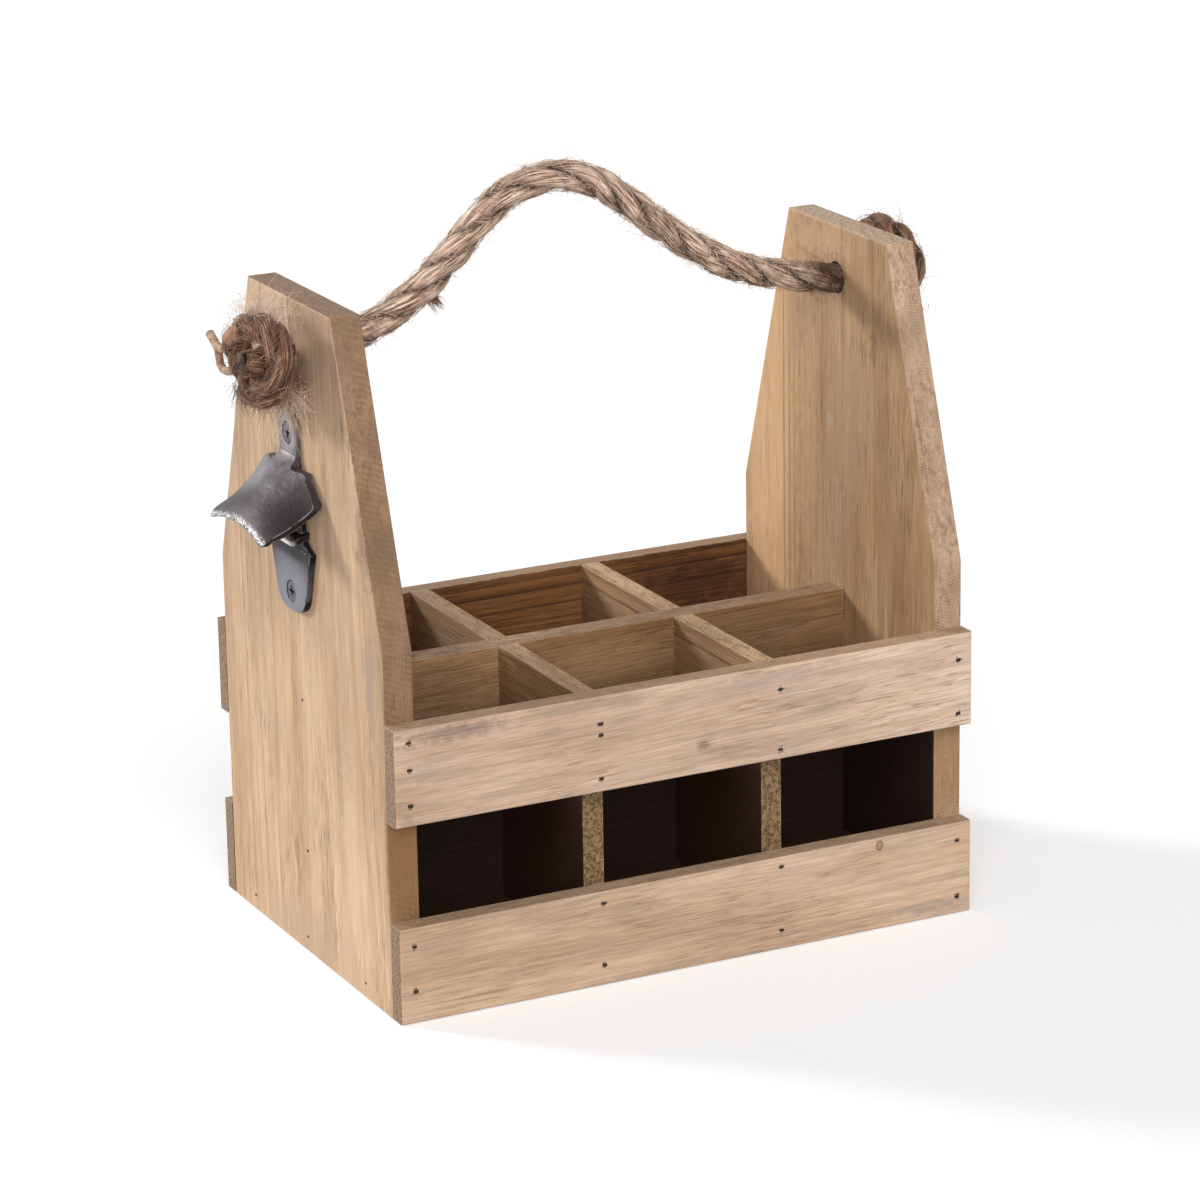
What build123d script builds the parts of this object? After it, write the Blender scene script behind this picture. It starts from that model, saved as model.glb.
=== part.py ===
# Six-bottle caddy in wood, with a rope handle and a bottle opener screwed to its left end.
# +X runs along the caddy, -Y is its front, +Z is up, and the underside's centre is the origin.
import os
from math import cos, pi, radians, sin, tan

from build123d import *

# Carcass boards
caddy_length = 260
board_width = 162
board_thickness = 13
board_height = 276
board_top_width = 82
shoulder_height = 150
board_easing = 1
slat_height = 40
slat_thickness = 8.5
slat_easing = 0.8
front_upper_slat_base = 82
bottom_thickness = 12
divider_top_height = 120
long_divider_thickness = 11
cross_divider_thickness = 9
divider_easing = 0.5

# T-headed brads, and where they are driven: up each slat, across or up each end board
brad_length = 25
brad_shank_width = 1.2
brad_head_width = 2.2
brad_head_height = 0.9
brad_gauge = 1.1
brad_sunk = 0.3
front_lower_brad_shares = ((0.80, 0.33), (0.87, 0.21), (0.89, 0.20), (0.80, 0.18))
front_upper_brad_shares = ((0.86, 0.58, 0.21), (0.71, 0.59, 0.14), (0.74, 0.10), (0.72, 0.14))
back_lower_brad_shares = ((0.78, 0.24), (0.84, 0.19), (0.86, 0.22), (0.81, 0.20))
back_upper_brad_shares = ((0.82, 0.26), (0.79, 0.17), (0.83, 0.21), (0.75, 0.19))
bottom_brad_shares = (-0.34, 0.02, 0.36)
divider_brad_shares = (0.30, 0.90)

# Rope handle and its holes. Pulled tight in its two overhand knots, the rope is thinner.
rope_diameter = 13
knotted_rope_diameter = 11.6
rope_hole_height = 254
rope_hole_clearance = 0.3
knot_seat_gap = 0.3
rope_arc_share = 0.45

# The rope's route from hole to hole: places along the caddy, and heights above the holes.
# The first and last points are the outer faces of the end boards.
rope_route = (
    (-108, 0),
    (-87, 8.5),
    (-66, 22.5),
    (-47, 43),
    (-33, 53.6),
    (-17, 57.8),
    (-1, 56.2),
    (14, 48),
    (30, 35),
    (49, 21),
    (70, 9.5),
    (94, 3.5),
    (113, 0),
)

# An overhand knot's route from its seat against the board: out, across and up from the hole.
# It turns round its own first stretch, and its end comes out through the middle of the loop.
knot_route = (
    (0, 0, 0),
    (8.3, 0, 0),
    (18, 4.8, -4.6),
    (20.7, 11.2, -10.3),
    (19.6, 20.5, -11.1),
    (17.1, 27.9, -6.2),
    (15, 30.4, 2.5),
    (15.4, 26.8, 11.2),
    (16.7, 18.6, 15.8),
    (19.8, 0.1, 12.1),
    (18.9, -8.7, 2.9),
    (15.8, -9.9, -5.7),
    (11.3, -5.4, -12.4),
    (7.4, 3, -14.1),
    (6.9, 11.4, -10.2),
    (9.4, 15.9, -3.2),
    (16, 17, 1.6),
    (27, 19.5, 2.4),
)

# Bottle opener: its back plate with a narrow tab above and a raised pad below
opener_height = 82
opener_knot_gap = 4.1
opener_thickness = 2.4
tab_width = 15.5
neck_width = 22
neck_shoulder = 4
pad_width = 40
pad_foot_width = 24
pad_height = 27
pad_thickness = 0.6
pad_corner = 10

# Its hood: a formed sheet that leaves the tab, crowns, and turns down at the lip.
# Each station gives the sheet's reach, its height, its slope from upright and the drop at its edge.
hood_top_width = 38
hood_width = 61
hood_lip_width = 53
hood_reach = 23.6
hood_neck_height = 60.5
hood_shoulder_height = 49.5
hood_tip_height = 34.8
hood_lip_arch = 4.6
hood_thickness = 2.8
hood_neck_corner = 3.5
hood_shoulder_corner = 3
hood_tip_corner = 2.5
hood_reach_shares = (-0.05, 0.12, 0.38, 0.66, 0.88, 0.985, 1)
hood_height_shares = (0.815, 0.757, 0.678, 0.593, 0.525, 0.475, 0.39)
hood_slopes = (24, 38, 44, 44, 38, 14, 0)
hood_drop_shares = (0.06, 0.24, 0.36, 0.32, 0.22, 0.12, 0.02)

# Its tooth, which catches under a cap's rim
tooth_width = 28
tooth_reach = 6
tooth_thickness = 2.4
tooth_height = 34
tooth_corner = 2.4
tooth_droop = 18

# The opener's countersunk screws, with crossed recesses
screw_head_diameter = 8.4
screw_shank_diameter = 4.2
screw_length = 13
screw_tip_length = 4
screw_sunk = 0.2
screw_clearance = 0.3
screw_recess_width = 1.2
screw_recess_length = 4.8
screw_recess_depth = 1.5
upper_screw_drop = 9
lower_screw_height = 7.5

overrun = 5

half_length = caddy_length / 2
half_width = board_width / 2
divider_height = divider_top_height - bottom_thickness
back_upper_slat_base = divider_top_height - slat_height
inner_length = caddy_length - 2 * board_thickness
cell_length = (inner_length - 2 * cross_divider_thickness) / 3
cross_divider_place = (cell_length + cross_divider_thickness) / 2
cell_width = (board_width - long_divider_thickness) / 2
rope_radius = rope_diameter / 2
rope_end = half_length + knot_seat_gap
knot_drop = knotted_rope_diameter / 2 - min(up for out, across, up in knot_route)
opener_base_height = rope_hole_height - knot_drop - opener_knot_gap - opener_height

os.makedirs("parts", exist_ok=True)


# Outlines are drawn as seen along a fastener, with zero at the wood's surface and depth below it.
def brad_outline(head_top):
    neck = -brad_sunk - brad_head_height
    return (
        (-brad_head_width / 2, head_top),
        (brad_head_width / 2, head_top),
        (brad_head_width / 2, neck),
        (brad_shank_width / 2, neck),
        (brad_shank_width / 2, -brad_sunk - brad_length),
        (-brad_shank_width / 2, -brad_sunk - brad_length),
        (-brad_shank_width / 2, neck),
        (-brad_head_width / 2, neck),
    )


def screw_outline():
    head = screw_head_diameter / 2
    shank = screw_shank_diameter / 2
    return (
        (0, -screw_sunk),
        (head, -screw_sunk),
        (shank, shank - head - screw_sunk),
        (shank, screw_tip_length - screw_length),
        (0, -screw_length),
    )


def countersink_outline():
    mouth = screw_head_diameter / 2 + screw_clearance + screw_sunk
    bore = screw_shank_diameter / 2 + screw_clearance
    return (
        (0, overrun),
        (mouth, overrun),
        (mouth, 0),
        (bore, bore - mouth),
        (bore, -opener_thickness - pad_thickness),
        (0, -opener_thickness - pad_thickness),
    )


def slat_spots(side, slat_base, shares):
    ends = half_length - board_thickness / 2
    places = (-ends, -cross_divider_place, cross_divider_place, ends)
    face = side * (half_width + slat_thickness)
    return [
        (place, face, slat_base + share * slat_height)
        for place, column in zip(places, shares)
        for share in column
    ]


def end_spots(side):
    face = side * half_length
    low = [(face, share * board_width, bottom_thickness / 2) for share in bottom_brad_shares]
    high = [(face, 0, bottom_thickness + share * divider_height) for share in divider_brad_shares]
    return low + high


# Brads: one group of separate brads for each slat and each end board, and the pockets they fill
nailings = {
    "front_lower_brads": (slat_spots(-1, 0, front_lower_brad_shares), (0, -1, 0)),
    "front_upper_brads": (slat_spots(-1, front_upper_slat_base, front_upper_brad_shares), (0, -1, 0)),
    "back_lower_brads": (slat_spots(1, 0, back_lower_brad_shares), (0, 1, 0)),
    "back_upper_brads": (slat_spots(1, back_upper_slat_base, back_upper_brad_shares), (0, 1, 0)),
    "left_end_brads": (end_spots(-1), (-1, 0, 0)),
    "right_end_brads": (end_spots(1), (1, 0, 0)),
}
pockets = {}
for name, (spots, outward) in nailings.items():
    across = Vector(outward).cross(Vector(0, 0, 1))
    with BuildPart() as brads:
        for spot in spots:
            with BuildSketch(Plane(origin=spot, x_dir=across, z_dir=(0, 0, 1))):
                Polygon(*brad_outline(-brad_sunk), align=None)
            extrude(amount=brad_gauge / 2, both=True)
    brads.part.label = name
    export_step(brads.part, f"parts/{name}.step")
    with BuildPart() as pocket_group:
        for spot in spots:
            with BuildSketch(Plane(origin=spot, x_dir=across, z_dir=(0, 0, 1))):
                Polygon(*brad_outline(overrun), align=None)
            extrude(amount=brad_gauge / 2, both=True)
    pockets[name] = pocket_group.part


# Opener screws, and the holes that they need in the opener and in the wood
upper_spot = (-half_length - opener_thickness, 0, opener_base_height + opener_height - upper_screw_drop)
lower_spot = (-half_length - opener_thickness - pad_thickness, 0, opener_base_height + lower_screw_height)
screw_planes = [Plane(origin=spot, x_dir=(0, 1, 0), z_dir=(0, 0, 1)) for spot in (upper_spot, lower_spot)]

with BuildPart() as opener_screws:
    for plane in screw_planes:
        with BuildSketch(plane):
            Polygon(*screw_outline(), align=None)
        revolve(axis=Axis(plane.origin, (1, 0, 0)))
        with BuildSketch(Plane(origin=plane.origin, x_dir=(0, 1, 0), z_dir=(1, 0, 0)).offset(screw_sunk)):
            Rectangle(screw_recess_length, screw_recess_width)
            Rectangle(screw_recess_width, screw_recess_length)
        extrude(amount=screw_recess_depth, mode=Mode.SUBTRACT)
opener_screws.part.label = "opener_screws"
export_step(opener_screws.part, "parts/opener_screws.step")

# End boards: upright grain, straight to the shoulder and then tapered to a flat top
for name, side in (("end_board_left", -1), ("end_board_right", 1)):
    base = side * (half_length - board_thickness / 2) - board_thickness / 2
    with BuildPart() as end_board:
        with BuildSketch(Plane.YZ.offset(base)):
            with BuildLine():
                Polyline(
                    (-half_width, 0),
                    (half_width, 0),
                    (half_width, shoulder_height),
                    (board_top_width / 2, board_height),
                    (-board_top_width / 2, board_height),
                    (-half_width, shoulder_height),
                    close=True,
                )
            make_face()
        extrude(amount=board_thickness)
        faces = end_board.faces().filter_by(Axis.X)
        fillet(faces.edges().filter_by(lambda edge: edge.center().Z > 0), radius=board_easing)
        with BuildSketch(Plane.YZ.offset(base)):
            with Locations((0, rope_hole_height)):
                Circle(rope_radius + rope_hole_clearance)
        extrude(amount=board_thickness, mode=Mode.SUBTRACT)
        for pocket in pockets.values():
            add(pocket, mode=Mode.SUBTRACT)
        if side < 0:
            add(opener_screws.part, mode=Mode.SUBTRACT)
    end_board.part.label = name
    export_step(end_board.part, f"parts/{name}.step")

# Slats: two across the front and two across the back, flush with the end boards' outer faces
slats = {
    "front_slat_lower": (-1, 0, "front_lower_brads"),
    "front_slat_upper": (-1, front_upper_slat_base, "front_upper_brads"),
    "back_slat_lower": (1, 0, "back_lower_brads"),
    "back_slat_upper": (1, back_upper_slat_base, "back_upper_brads"),
}
for name, (side, slat_base, nailing) in slats.items():
    face = side * (half_width + slat_thickness)
    with BuildPart() as slat:
        with BuildSketch(Plane.XZ.offset(-side * half_width)):
            with Locations((0, slat_base + slat_height / 2)):
                Rectangle(caddy_length, slat_height)
        extrude(amount=-side * slat_thickness)
        outer = slat.faces().filter_by(Axis.Y).sort_by(Axis.Y)[-1 if side > 0 else 0]
        fillet(outer.edges(), radius=slat_easing)
        add(pockets[nailing], mode=Mode.SUBTRACT)
    slat.part.label = name
    export_step(slat.part, f"parts/{name}.step")

# Bottom board: it fills the caddy between the end boards and the lower slats
with BuildPart() as bottom_board:
    with BuildSketch():
        Rectangle(inner_length, board_width)
    extrude(amount=bottom_thickness)
    for pocket in pockets.values():
        add(pocket, mode=Mode.SUBTRACT)
bottom_board.part.label = "bottom_board"
export_step(bottom_board.part, "parts/bottom_board.step")

# Dividers: one down the middle, and four short ones that butt against it
with BuildPart() as long_divider:
    with BuildSketch(Plane.XY.offset(bottom_thickness)):
        Rectangle(inner_length, long_divider_thickness)
    extrude(amount=divider_height)
    fillet(long_divider.edges().filter_by(Axis.X).group_by(Axis.Z)[-1], radius=divider_easing)
    for pocket in pockets.values():
        add(pocket, mode=Mode.SUBTRACT)
long_divider.part.label = "long_divider"
export_step(long_divider.part, "parts/long_divider.step")

cross_dividers = {
    "cross_divider_front_left": (-1, -1),
    "cross_divider_front_right": (1, -1),
    "cross_divider_back_left": (-1, 1),
    "cross_divider_back_right": (1, 1),
}
for name, (column, row) in cross_dividers.items():
    with BuildPart() as cross_divider:
        with BuildSketch(Plane.XY.offset(bottom_thickness)):
            with Locations((column * cross_divider_place, row * (half_width - cell_width / 2))):
                Rectangle(cross_divider_thickness, cell_width)
        extrude(amount=divider_height)
        fillet(cross_divider.edges().filter_by(Axis.Y).group_by(Axis.Z)[-1], radius=divider_easing)
        for pocket in pockets.values():
            add(pocket, mode=Mode.SUBTRACT)
    cross_divider.part.label = name
    export_step(cross_divider.part, f"parts/{name}.step")

# Bottle opener. Its outlines are drawn on the end board's face, seen from outside.
opener_plane = Plane(origin=(-half_length, 0, opener_base_height), x_dir=(0, -1, 0), z_dir=(-1, 0, 0))


def hood_station(reach_share, height_share, slope, drop_share):
    lean = radians(slope)
    outward = opener_thickness + reach_share * hood_reach
    origin = (-half_length - outward, 0, opener_base_height + height_share * opener_height)
    half = hood_width / 2 + hood_thickness
    drop = drop_share * hood_width / 2
    under = drop + hood_thickness
    with BuildSketch(Plane(origin=origin, x_dir=(0, 1, 0), z_dir=(sin(lean), 0, cos(lean)))) as station:
        with BuildLine():
            ThreePointArc((-half, -drop), (0, 0), (half, -drop))
            Line((half, -drop), (half, -under))
            ThreePointArc((half, -under), (0, -hood_thickness), (-half, -under))
            Line((-half, -under), (-half, -drop))
        make_face()
    return station.sketch


with BuildPart() as bottle_opener:
    # the formed sheet, trimmed to the hood's outline
    for station in zip(hood_reach_shares, hood_height_shares, hood_slopes, hood_drop_shares):
        add(hood_station(*station))
    loft()
    with BuildSketch(opener_plane) as hood_outline:
        with BuildLine():
            Polyline(
                (-hood_lip_width / 2, hood_tip_height),
                (-hood_width / 2, hood_shoulder_height),
                (-hood_top_width / 2, hood_neck_height),
                (-tab_width / 2, hood_neck_height),
                (-tab_width / 2, opener_height),
                (tab_width / 2, opener_height),
                (tab_width / 2, hood_neck_height),
                (hood_top_width / 2, hood_neck_height),
                (hood_width / 2, hood_shoulder_height),
                (hood_lip_width / 2, hood_tip_height),
            )
            ThreePointArc(
                (hood_lip_width / 2, hood_tip_height),
                (0, hood_tip_height + hood_lip_arch),
                (-hood_lip_width / 2, hood_tip_height),
            )
        make_face()
        for row, corner in ((2, hood_neck_corner), (1, hood_shoulder_corner), (0, hood_tip_corner)):
            fillet(hood_outline.vertices().group_by(Axis.Y)[row], radius=corner)
    extrude(amount=opener_thickness + hood_reach + overrun, mode=Mode.INTERSECT)
    # the back plate: the tab's round top, the neck behind the hood, and the pad's outline
    with BuildSketch(opener_plane):
        with BuildLine():
            Polyline(
                (-pad_foot_width / 2, 0),
                (pad_foot_width / 2, 0),
                (pad_width / 2, pad_height),
                (neck_width / 2, pad_height + neck_shoulder),
                (neck_width / 2, hood_shoulder_height),
                (tab_width / 2, hood_neck_height),
                (tab_width / 2, opener_height - tab_width / 2),
            )
            ThreePointArc(
                (tab_width / 2, opener_height - tab_width / 2),
                (0, opener_height),
                (-tab_width / 2, opener_height - tab_width / 2),
            )
            Polyline(
                (-tab_width / 2, opener_height - tab_width / 2),
                (-tab_width / 2, hood_neck_height),
                (-neck_width / 2, hood_shoulder_height),
                (-neck_width / 2, pad_height + neck_shoulder),
                (-pad_width / 2, pad_height),
                (-pad_foot_width / 2, 0),
            )
        make_face()
    extrude(amount=opener_thickness)
    # the pad stands proud of the plate
    with BuildSketch(opener_plane):
        Polygon(
            (-pad_foot_width / 2, 0),
            (pad_foot_width / 2, 0),
            (pad_width / 2, pad_height),
            (-pad_width / 2, pad_height),
            align=None,
        )
    extrude(amount=opener_thickness + pad_thickness)
    foot = bottle_opener.edges().filter_by(Axis.X).group_by(Axis.Z)[0]
    fillet(foot, radius=pad_corner)
    # the tooth is a ledge that droops away from the plate
    droop = radians(tooth_droop)
    tooth_plane = Plane(
        origin=(-half_length - opener_thickness, 0, opener_base_height + tooth_height),
        x_dir=(0, 1, 0),
        z_dir=(-sin(droop), 0, cos(droop)),
    )
    with BuildSketch(tooth_plane) as tooth:
        Rectangle(tooth_width, 2 * tooth_reach)
        fillet(tooth.vertices(), radius=tooth_corner)
    extrude(amount=-tooth_thickness)
    with BuildSketch(opener_plane):
        Rectangle(hood_width, 2 * opener_height)
    extrude(amount=-overrun - opener_thickness, mode=Mode.SUBTRACT)
    for plane in screw_planes:
        with BuildSketch(plane):
            Polygon(*countersink_outline(), align=None)
        revolve(axis=Axis(plane.origin, (1, 0, 0)), mode=Mode.SUBTRACT)
bottle_opener.part.label = "bottle_opener"
export_step(bottle_opener.part, "parts/bottle_opener.step")


# A rope's arcs are as large as the runs beside them allow
def arc_radii(points):
    runs = [after - before for before, after in zip(points, points[1:])]
    return [
        rope_arc_share * min(before.length, after.length) / tan(radians(before.get_angle(after)) / 2)
        for before, after in zip(runs, runs[1:])
    ]


# The least gap between stretches of a rope that lie more than two diameters apart along it
def least_gap(path, length, diameter):
    steps = round(length)
    skip = round(2 * diameter / length * steps)
    spots = [path @ (step / steps) for step in range(steps + 1)]
    return min(
        (spots[late] - spots[early]).length
        for early in range(len(spots) - skip)
        for late in range(early + skip, len(spots))
    ) - diameter


# Rope: one unbroken span through both end boards, up in the loose arch that it is carried by
rope_points = [
    Vector(-rope_end, 0, rope_hole_height),
    *(Vector(place, 0, rope_hole_height + rise) for place, rise in rope_route),
    Vector(rope_end, 0, rope_hole_height),
]
with BuildPart() as rope_span:
    with BuildLine() as rope_path:
        FilletPolyline(*rope_points, radius=arc_radii(rope_points))
    with BuildSketch(Plane(origin=rope_points[0], x_dir=(0, 1, 0), z_dir=(1, 0, 0))):
        Circle(rope_radius)
    sweep()
rope_span.part.label = "rope_span"
export_step(rope_span.part, "parts/rope_span.step")
rope_length = sum(edge.length for edge in rope_path.edges())
print("rope radii:", [round(radius) for radius in arc_radii(rope_points)])
print("rope length:", round(rope_length))
print("rope volume over section by length:", rope_span.part.volume / (pi * rope_radius**2 * rope_length))

# Overhand knots: the right one is the left one turned half round, and each is one unbroken tube
for name, side in (("rope_knot_left", -1), ("rope_knot_right", 1)):
    knot_points = [
        Vector(side * (rope_end + out), side * across, rope_hole_height + up) for out, across, up in knot_route
    ]
    with BuildPart() as knot:
        with BuildLine() as knot_path:
            knot_line = FilletPolyline(*knot_points, radius=arc_radii(knot_points))
        with BuildSketch(Plane(origin=knot_points[0], x_dir=(0, 1, 0), z_dir=(side, 0, 0))):
            Circle(knotted_rope_diameter / 2)
        sweep()
    knot.part.label = name
    export_step(knot.part, f"parts/{name}.step")
    knot_length = sum(edge.length for edge in knot_path.edges())
    knot_section = pi * (knotted_rope_diameter / 2) ** 2
    print(name, "radii:", [round(radius, 1) for radius in arc_radii(knot_points)])
    print(name, "length:", round(knot_length))
    print(name, "volume over section by length:", knot.part.volume / (knot_section * knot_length))
    print(name, "least gap to itself:", round(least_gap(knot_line, knot_length, knotted_rope_diameter), 2))
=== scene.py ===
import random
from math import cos, radians, sin, tau
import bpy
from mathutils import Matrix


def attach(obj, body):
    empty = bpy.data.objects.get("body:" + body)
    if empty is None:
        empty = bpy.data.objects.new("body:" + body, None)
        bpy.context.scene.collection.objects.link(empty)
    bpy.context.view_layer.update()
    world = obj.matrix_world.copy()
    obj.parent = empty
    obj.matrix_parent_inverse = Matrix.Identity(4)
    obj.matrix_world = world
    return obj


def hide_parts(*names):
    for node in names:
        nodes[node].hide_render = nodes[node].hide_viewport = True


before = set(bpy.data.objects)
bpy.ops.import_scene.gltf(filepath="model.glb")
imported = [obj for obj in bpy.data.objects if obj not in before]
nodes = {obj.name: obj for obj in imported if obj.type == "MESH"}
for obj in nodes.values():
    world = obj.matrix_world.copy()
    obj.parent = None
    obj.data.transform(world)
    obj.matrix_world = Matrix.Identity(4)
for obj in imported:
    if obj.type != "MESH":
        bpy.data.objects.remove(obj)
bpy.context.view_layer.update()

from types import SimpleNamespace

import bmesh
import bpy
from mathutils import Quaternion, Vector

print("caddy loaded:", len(nodes), "solids")


def putInScene(name, data):
    thing = bpy.data.objects.new(name, data)
    bpy.context.scene.collection.objects.link(thing)
    return thing


# the caddy is seen from the front left, a little above
cameraPlace = {
    "azimuth": -26.47,  # degrees from the front, to the left
    "elevation": 17.182,
    "distance": 1.9158,
    "aim": (0.00265, -0.00411, 0.13205),
    "tilt": -0.977,  # the photograph leans a little
    "lens": 139.245,
    "film": 36,
    "reach": (0.05, 60),  # nearest and furthest that it sees
}


def setCamera(place):
    turn, lift = radians(place["azimuth"]), radians(place["elevation"])
    outward = Vector((sin(turn) * cos(lift), -cos(turn) * cos(lift), sin(lift)))
    data = bpy.data.cameras.new("camera")
    data.lens = place["lens"]
    data.sensor_width = place["film"]
    data.clip_start, data.clip_end = place["reach"]
    camera = putInScene("camera", data)
    camera.location = Vector(place["aim"]) + outward * place["distance"]
    look = (-outward).to_track_quat("-Z", "Y") @ Quaternion((0, 0, 1), radians(place["tilt"]))
    camera.rotation_euler = look.to_euler()
    bpy.context.scene.camera = camera


setCamera(cameraPlace)
print("camera set")


# one node, with its options set and its inputs joined or filled; it goes into the tree of the
# sockets that it is given, and a colour comes without its alpha
def wire(kind, inputs=None, tree=None, **options):
    inputs = inputs or {}
    tree = tree or next(value.id_data for value in inputs.values() if isinstance(value, bpy.types.NodeSocket))
    node = tree.nodes.new("ShaderNode" + kind)
    for name, value in options.items():
        setattr(node, name, value)
    for name, value in inputs.items():
        socket = node.inputs[name]
        if isinstance(value, bpy.types.NodeSocket):
            tree.links.new(value, socket)
        else:
            socket.default_value = (*value, 1) if socket.type == "RGBA" else value
    return node.outputs


def calc(operation, *values):
    return wire("Math", dict(enumerate(values)), operation=operation)[0]


def times(first, second):
    return calc("MULTIPLY", first, second)


def plus(base, value, share):  # base with a share of the value added
    return calc("MULTIPLY_ADD", value, share, base)


def between(value, low, high, bottom=0, top=1):  # smooth step from low to high
    inputs = {"Value": value, "From Min": low, "From Max": high, "To Min": bottom, "To Max": top}
    return wire("MapRange", inputs, interpolation_type="SMOOTHSTEP")[0]


def tint(mask, under, over, blend="MIX"):
    return wire("Mix", {0: mask, 6: under, 7: over}, data_type="RGBA", blend_type=blend)[2]


def vector(operation, first, second):
    return wire("VectorMath", {0: first, 1: second}, operation=operation)[0]


def stretch(place, scale):
    return vector("MULTIPLY", place, scale)


def distance(first, second):
    return wire("VectorMath", {0: first, 1: second}, operation="DISTANCE")["Value"]


def size(place):
    return wire("VectorMath", {0: place}, operation="LENGTH")["Value"]


def parts(place):
    return wire("SeparateXYZ", {0: place})


def cloud(place, scale, detail=3, rough=0.55):  # soft noise; the scale may differ along each axis
    if isinstance(scale, tuple):
        place, scale = stretch(place, scale), 1
    return wire("TexNoise", {"Vector": place, "Scale": scale, "Detail": detail, "Roughness": rough})[0]


def makeGroup(name, inputs, build):  # build takes the group's inputs and gives its outputs by name
    tree = bpy.data.node_groups.new(name, "ShaderNodeTree")
    for label, value in inputs.items():
        kind = "NodeSocketVector" if isinstance(value, tuple) else "NodeSocketFloat"
        tree.interface.new_socket(name=label, in_out="INPUT", socket_type=kind).default_value = value
    made = build(tree.nodes.new("NodeGroupInput").outputs)
    for label in made:
        tree.interface.new_socket(name=label, in_out="OUTPUT", socket_type="NodeSocketFloat")
    ends = tree.nodes.new("NodeGroupOutput").inputs
    for label, value in made.items():
        tree.links.new(value, ends[label])
    return tree


def useGroup(group, inputs, tree=None):
    return wire("Group", inputs, tree, node_tree=group)


# What a plank shows comes in groups. Place is in metres, with the grain along Z.
def growPlank(given):  # growth rings round a pith, fibres, pores and blotches of stain
    place = given["Place"]
    slow = wire("TexNoise", {"Vector": stretch(place, (11, 11, 1.7)), "Scale": 1, "Detail": 2})["Color"]
    shift = vector("SUBTRACT", slow, (0.5, 0.5, 0.5))
    shift = wire("VectorMath", {0: shift, "Scale": given["Wander"]}, operation="SCALE")[0]
    bent = vector("ADD", place, shift)
    flat = stretch(bent, (1, 1, 0))
    reach = calc("ADD", size(flat), given["Push"])
    count = calc("DIVIDE", reach, given["Ring Width"])
    count = calc("ADD", count, times(cloud(flat, (90, 90, 90), detail=1), 1.6))
    share = calc("FRACT", count)
    late = times(calc("POWER", share, 2.2), between(share, 1, 0.9))
    year = wire("TexWhiteNoise", {"W": calc("FLOOR", count)}, noise_dimensions="1D")["Value"]
    fine = cloud(bent, (1700, 1700, 60), rough=0.65)
    middle = cloud(bent, (760, 760, 17), rough=0.65)
    broad = cloud(bent, (150, 150, 4))
    fibres = plus(plus(times(middle, 0.3), fine, 0.5), broad, 0.2)
    dashes = cloud(bent, (1250, 1250, 85), detail=1)
    where = cloud(place, (48, 48, 15))
    return {
        "Rings": times(late, calc("ADD", 0.4, year)),
        "Fibres": between(fibres, 0.36, 0.64),
        "Pores": times(between(dashes, 0.56, 0.68), between(where, 0.42, 0.62)),
        "Blotches": between(cloud(place, (27, 27, 8), detail=4, rough=0.6), 0.36, 0.64),
    }


def growKnot(given):  # a small knot in the wood: it bends the rings round itself
    away = vector("SUBTRACT", given["Place"], given["Centre"])
    share = calc("DIVIDE", size(stretch(away, (1, 1, 0.7))), given["Size"])
    share = plus(share, cloud(given["Place"], 420, detail=2), 0.5)
    return {
        "Push": times(between(share, 5, 0.3), times(given["Size"], 1.6)),
        "Core": between(share, 1.15, 0.75),
        "Rim": times(between(share, 0.8, 1.1), between(share, 1.5, 1.15)),
    }


def rubMark(given):  # a soft, ragged mark round one place
    away = vector("DIVIDE", vector("SUBTRACT", given["Place"], given["Centre"]), given["Spread"])
    ragged = calc("SUBTRACT", cloud(given["Place"], 190, detail=4, rough=0.65), 0.5)
    reach = plus(size(away), ragged, times(given["Ragged"], 2.2))
    return {"Mask": between(reach, 1.15, 0.25)}


def wearEdges(given):  # where an edge has been rubbed
    tree = given["Radius"].id_data
    rounded = wire("Bevel", {"Radius": given["Radius"]}, samples=4)[0]
    facing = wire("NewGeometry", tree=tree)["Normal"]
    same = wire("VectorMath", {0: rounded, 1: facing}, operation="DOT_PRODUCT")["Value"]
    patchy = cloud(wire("TexCoord", tree=tree)["Object"], given["Break Up"])
    mask = times(between(same, 0.995, 0.86), between(patchy, 0.36, 0.62))
    return {"Mask": times(mask, given["Amount"])}


def weatherPlank(given):  # grey streaks that follow the grain, in patches
    streaks = cloud(given["Place"], (260, 260, 13), detail=4, rough=0.65)
    areas = cloud(given["Place"], (25, 25, 13))
    mask = times(between(streaks, 0.44, 0.64), between(areas, 0.44, 0.66))
    return {"Mask": times(mask, given["Amount"])}


def waves(place, pitch):
    return calc("SINE", times(calc("DIVIDE", place, pitch), tau))


def sawPlank(given):  # the saw's slanting lines on a cut face, and the speckle of cut fibre ends
    along = parts(given["Place"])
    slant = plus(along[2], calc("ADD", along[0], along[1]), 0.45)
    slant = plus(slant, cloud(given["Place"], (40, 40, 18), detail=2), 0.009)
    patchy = cloud(given["Place"], (160, 160, 45))
    lines = plus(0.5, waves(slant, given["Pitch"]), 0.5)
    return {
        "Lines": times(lines, between(patchy, 0.35, 0.65)),
        "Speckle": between(cloud(given["Place"], (900, 900, 500), rough=0.7), 0.42, 0.62),
    }


def planePlank(given):  # faint ridges across the grain that a planer's knives leave here and there
    bend = cloud(given["Place"], (70, 70, 30), detail=2)
    where = cloud(given["Place"], (23, 23, 14), detail=2)
    wave = waves(plus(parts(given["Place"])[2], bend, 0.006), given["Pitch"])
    return {"Wave": times(wave, between(where, 0.54, 0.68))}


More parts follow.
